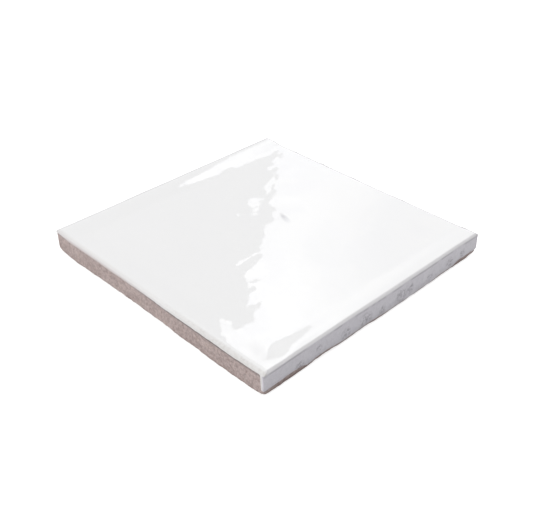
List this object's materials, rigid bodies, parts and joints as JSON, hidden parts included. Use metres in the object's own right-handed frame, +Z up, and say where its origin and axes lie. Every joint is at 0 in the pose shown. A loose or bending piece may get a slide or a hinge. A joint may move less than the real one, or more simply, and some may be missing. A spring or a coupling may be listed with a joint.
{
  "type": "ceramic wall tile",
  "caption": "Square glazed ceramic wall tile with a softly uneven glossy white face, a rounded glazed edge and a bare clay edge.",
  "frame": {"origin": "middle of the tile's back, on the surface that it lies on", "axes": "+Z up out of the glazed face, +X towards the glazed edge, -Y towards the bare clay edge that meets it at the near corner"},
  "size_m": [0.131, 0.13, 0.0112],
  "materials": {
    "glaze": "glossy",
    "bare_clay": "matt"
  },
  "bodies": {
    "root": {"tile": "glaze"}
  },
  "joints": []
}
